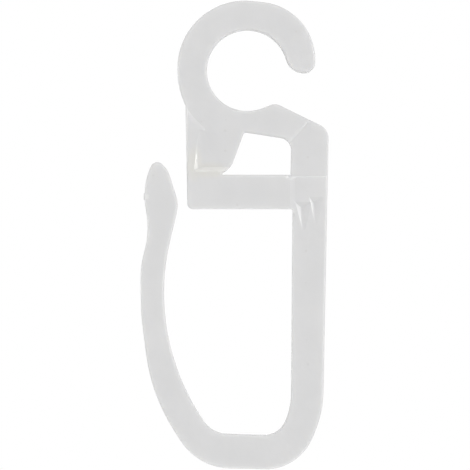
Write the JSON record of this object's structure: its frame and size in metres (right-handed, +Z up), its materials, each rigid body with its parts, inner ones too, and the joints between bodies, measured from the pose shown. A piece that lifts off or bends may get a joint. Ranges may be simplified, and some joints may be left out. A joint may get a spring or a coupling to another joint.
{
  "type": "curtain hook",
  "caption": "Flat moulded plastic curtain hook: an open eye that snaps over a glider, a short crossbar with a window, and a long upright loop with an oval end for the heading tape's pockets.",
  "frame": {"origin": "centre of the open eye, on its axis, half way through the thickness", "axes": "+Z up as the hook hangs; +X to the side of the shank; -Y out of the face that the picture shows"},
  "size_m": [0.0144, 0.0022, 0.036],
  "materials": {
    "milky_plastic": "milky translucent undyed plastic as moulded, semi-gloss, with fine flow marks and rounded edges"
  },
  "bodies": {
    "root": {"curtain_hook": "milky_plastic"}
  },
  "joints": []
}
